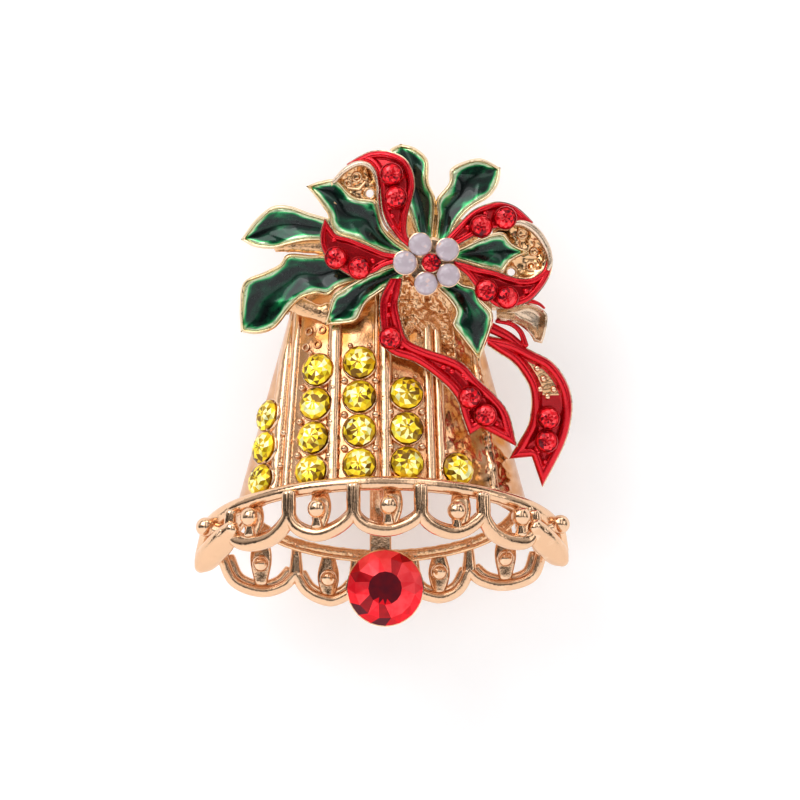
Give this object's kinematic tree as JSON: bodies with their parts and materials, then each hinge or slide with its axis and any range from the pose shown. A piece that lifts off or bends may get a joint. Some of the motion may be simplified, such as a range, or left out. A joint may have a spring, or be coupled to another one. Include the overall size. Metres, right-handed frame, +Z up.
{
  "type": "christmas bell brooch",
  "caption": "Half-relief gold bell brooch with yellow crystals, green enamel holly, a red ribbon bow with opal berries, and a locking pin across the back.",
  "frame": {"origin": "middle of the pin stem, where the brooch hangs from the cloth", "axes": "+Z up as worn, -Y out of the decorated front, +Y into the cloth, +X along the pin towards its catch"},
  "size_m": [0.0367, 0.0159, 0.0457],
  "materials": {
    "rose_gold": "polished rose-gold plating, darker in the recesses",
    "pin_gold": "plated, lightly brushed",
    "pin_steel": "drawn spring wire",
    "green_enamel": "glossy translucent enamel, paler at the edges",
    "red_enamel": "glossy translucent enamel, paler on raised edges",
    "yellow_crystal": "foiled round-cut crystal",
    "red_crystal": "foiled round-cut crystal",
    "white_opal": "milky opal glass"
  },
  "bodies": {
    "brooch": {"bell_shell": "rose_gold", "front_gallery": "rose_gold", "back_gallery": "rose_gold", "clapper": "rose_gold", "berry_setting": "rose_gold", "leaf_left": "green_enamel", "leaf_lower_left": "green_enamel", "leaf_upper_left": "green_enamel", "leaf_top": "green_enamel", "leaf_top_right": "green_enamel", "leaf_right": "green_enamel", "leaf_lower_right": "green_enamel", "leaf_lower": "green_enamel", "ribbon_upper_left": "red_enamel", "ribbon_left": "red_enamel", "ribbon_right": "red_enamel", "ribbon_tail": "red_enamel", "ribbon_right_tail": "red_enamel", "ribbon_fold": "red_enamel", "yellow_stone_01": "yellow_crystal", "yellow_stone_02": "yellow_crystal", "yellow_stone_03": "yellow_crystal", "yellow_stone_04": "yellow_crystal", "yellow_stone_05": "yellow_crystal", "yellow_stone_06": "yellow_crystal", "yellow_stone_07": "yellow_crystal", "yellow_stone_08": "yellow_crystal", "yellow_stone_09": "yellow_crystal", "yellow_stone_10": "yellow_crystal", "yellow_stone_11": "yellow_crystal", "yellow_stone_12": "yellow_crystal", "yellow_stone_13": "yellow_crystal", "yellow_stone_14": "yellow_crystal", "yellow_stone_15": "yellow_crystal", "red_stone_01": "red_crystal", "red_stone_02": "red_crystal", "red_stone_03": "red_crystal", "red_stone_04": "red_crystal", "red_stone_05": "red_crystal", "red_stone_06": "red_crystal", "red_stone_07": "red_crystal", "red_stone_08": "red_crystal", "red_stone_09": "red_crystal", "red_stone_10": "red_crystal", "red_stone_11": "red_crystal", "red_stone_12": "red_crystal", "red_stone_13": "red_crystal", "berry_red": "red_crystal", "clapper_stone": "red_crystal", "opal_1": "white_opal", "opal_2": "white_opal", "opal_3": "white_opal", "opal_4": "white_opal", "opal_5": "white_opal", "pin_bar": "pin_gold", "hinge_rivet": "pin_gold", "catch": "pin_gold"},
    "pin_stem": {"pin_stem": "pin_steel"},
    "catch_rotor": {"catch_rotor": "pin_gold"}
  },
  "joints": [
    {"name": "pin_swing", "type": "hinge", "parent": "brooch", "child": "pin_stem", "pos_m": [-0.0096, 0, 0], "axis": [0, 0, 1], "range_deg": [0, 75]},
    {"name": "catch_turn", "type": "hinge", "parent": "brooch", "child": "catch_rotor", "pos_m": [0.0096, 0, 0], "axis": [-1, 0, 0], "range_deg": [0, 100]}
  ]
}
